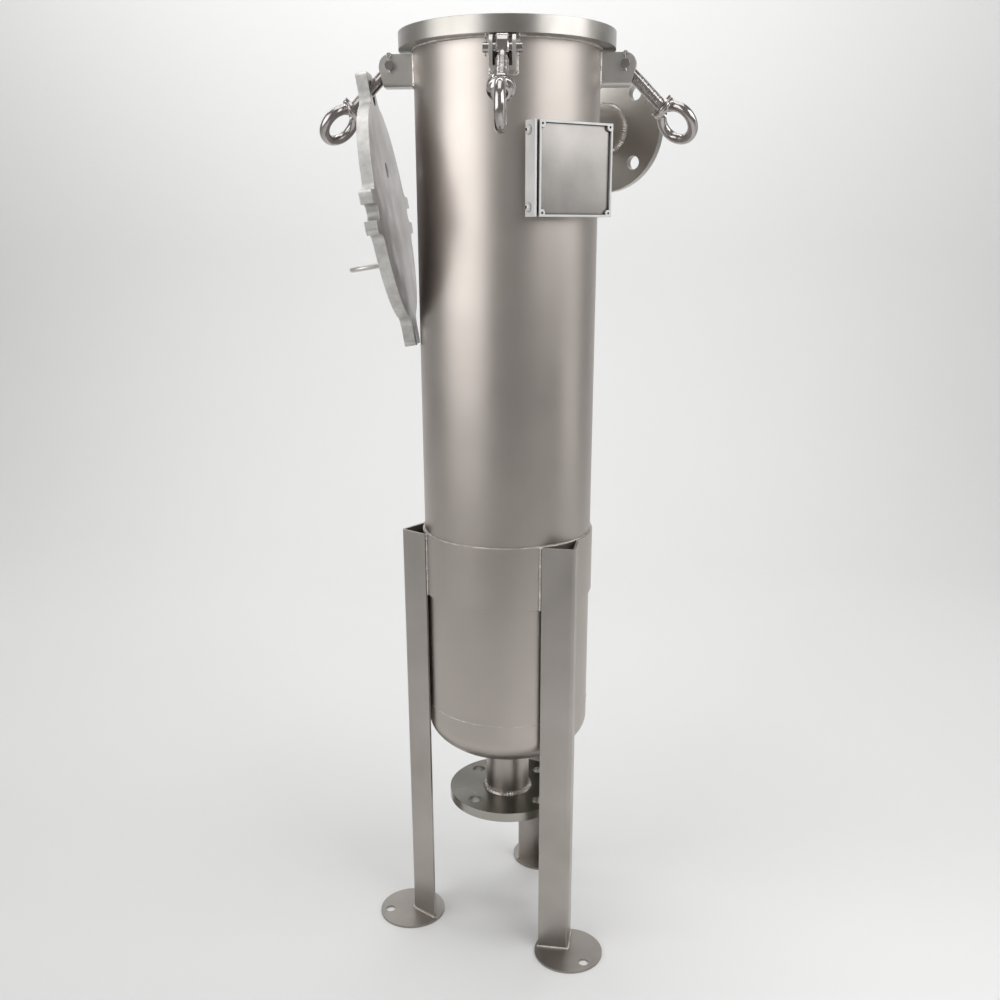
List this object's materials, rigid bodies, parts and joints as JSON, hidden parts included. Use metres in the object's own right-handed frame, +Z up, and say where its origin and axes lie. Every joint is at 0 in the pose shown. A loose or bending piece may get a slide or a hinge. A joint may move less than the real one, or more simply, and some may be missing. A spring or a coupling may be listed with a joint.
{
  "type": "bag filter housing",
  "caption": "Stainless bag filter housing on three legs: flanged side inlet and bottom outlet, swing-bolt lid hanging open on one bolt, basket and bag inside.",
  "frame": {"origin": "on the floor under the vessel's axis, at the centre of the three floor bolts", "axes": "+Z up along the vessel, -Y towards the front swing bolt, +X towards the right-hand one"},
  "size_m": [0.4476, 0.518, 1.178],
  "materials": {
    "vessel_steel": "bead-blasted satin",
    "lid_steel": "satin",
    "leg_steel": "bright rolled",
    "bright_steel": "polished",
    "basket_steel": "mill",
    "plate_metal": "satin",
    "plate_sheet": "satin",
    "rubber": "matt",
    "felt": "needled felt"
  },
  "bodies": {
    "vessel": {"shell_tube": "vessel_steel", "rim_ring": "vessel_steel", "bottom_head": "vessel_steel", "basket_seat": "vessel_steel", "doubler_band": "vessel_steel", "inlet_stub": "vessel_steel", "inlet_flange": "vessel_steel", "outlet_stub": "vessel_steel", "outlet_flange": "vessel_steel", "lid_seal": "rubber", "leg_right": "leg_steel", "leg_back": "leg_steel", "leg_left": "leg_steel", "feet": "leg_steel", "brackets": "leg_steel", "pivot_pins": "bright_steel", "split_pins": "bright_steel", "plate_bracket": "plate_metal", "plate_frame": "plate_metal", "blank_plate": "plate_sheet", "side_screws": "bright_steel"},
    "bolt_front": {"swing_bolt_front": "bright_steel"},
    "washer_front": {"washer_front": "bright_steel"},
    "nut_front": {"eye_nut_front": "bright_steel"},
    "bolt_right": {"swing_bolt_right": "bright_steel"},
    "washer_right": {"washer_right": "bright_steel"},
    "nut_right": {"eye_nut_right": "bright_steel"},
    "bolt_back": {"swing_bolt_back": "bright_steel"},
    "washer_back": {"washer_back": "bright_steel"},
    "nut_back": {"eye_nut_back": "bright_steel"},
    "bolt_left": {"swing_bolt_left": "bright_steel"},
    "washer_left": {"washer_left": "bright_steel"},
    "nut_left": {"eye_nut_left": "bright_steel"},
    "lid": {"lid_plate": "lid_steel", "lid_handle": "lid_steel"},
    "basket": {"basket_rim": "basket_steel", "basket_tube": "basket_steel", "basket_sole": "basket_steel"},
    "bail": {"basket_bail": "basket_steel"},
    "bag": {"filter_bag": "felt", "bag_ring": "leg_steel"}
  },
  "joints": [
    {"name": "swing_front", "type": "hinge", "parent": "vessel", "child": "bolt_front", "pos_m": [0, -0.1365, 1.144], "axis": [-1, 0, 0], "range_deg": [0, 134]},
    {"name": "seat_front", "type": "slide", "parent": "bolt_front", "child": "washer_front", "axis": [0, 0.7193, 0.6947], "range_m": [0, 0.01205]},
    {"name": "spin_front", "type": "hinge", "parent": "washer_front", "child": "nut_front", "pos_m": [0, -0.18214, 1.09993], "axis": [0, 0.7193, 0.6947], "range_deg": [0, 2168.74]},
    {"name": "swing_right", "type": "hinge", "parent": "vessel", "child": "bolt_right", "pos_m": [0.1365, 0, 1.144], "axis": [0, -1, 0], "range_deg": [0, 134]},
    {"name": "seat_right", "type": "slide", "parent": "bolt_right", "child": "washer_right", "axis": [-0.7193, 0, 0.6947], "range_m": [0, 0.01205]},
    {"name": "spin_right", "type": "hinge", "parent": "washer_right", "child": "nut_right", "pos_m": [0.18214, 0, 1.09993], "axis": [-0.7193, 0, 0.6947], "range_deg": [0, 2168.74]},
    {"name": "swing_back", "type": "hinge", "parent": "vessel", "child": "bolt_back", "pos_m": [0, 0.1365, 1.144], "axis": [1, 0, 0], "range_deg": [0, 134]},
    {"name": "seat_back", "type": "slide", "parent": "bolt_back", "child": "washer_back", "axis": [0, -0.7193, 0.6947], "range_m": [0, 0.01205]},
    {"name": "spin_back", "type": "hinge", "parent": "washer_back", "child": "nut_back", "pos_m": [0, 0.18214, 1.09993], "axis": [0, -0.7193, 0.6947], "range_deg": [0, 2168.74]},
    {"name": "swing_left", "type": "hinge", "parent": "vessel", "child": "bolt_left", "pos_m": [-0.1365, 0, 1.144], "axis": [0, 1, 0], "range_deg": [0, 134]},
    {"name": "lid_turn", "type": "hinge", "parent": "bolt_left", "child": "washer_left", "pos_m": [-0.16621, 0, 1.11531], "axis": [-0.7193, 0, -0.6947], "range_deg": [0, 180]},
    {"name": "lid_tilt", "type": "hinge", "parent": "washer_left", "child": "lid", "pos_m": [-0.16621, 0, 1.11531], "axis": [0, -1, 0], "range_deg": [0, 35]},
    {"name": "spin_left", "type": "hinge", "parent": "bolt_left", "child": "nut_left", "pos_m": [-0.18214, 0, 1.09993], "axis": [0.7193, 0, 0.6947], "range_deg": [-360, 0]},
    {"name": "basket_lift", "type": "slide", "parent": "vessel", "child": "basket", "axis": [0, 0, -1], "range_m": [-0.9, 0]},
    {"name": "bag_lift", "type": "slide", "parent": "basket", "child": "bag", "axis": [0, 0, -1], "range_m": [-0.9, 0]},
    {"name": "bail_fold", "type": "hinge", "parent": "basket", "child": "bail", "pos_m": [0, 0, 1.0653], "axis": [-1, 0, 0], "range_deg": [0, 90]}
  ],
  "couplings": [
    {"joint": "seat_front", "follows": "spin_front", "m_per_rad": 0.00031831},
    {"joint": "seat_right", "follows": "spin_right", "m_per_rad": 0.00031831},
    {"joint": "seat_back", "follows": "spin_back", "m_per_rad": 0.00031831},
    {"joint": "lid_turn", "follows": "swing_left", "ratio": 1.3433},
    {"joint": "lid_tilt", "follows": "swing_left", "ratio": 0.26119}
  ]
}
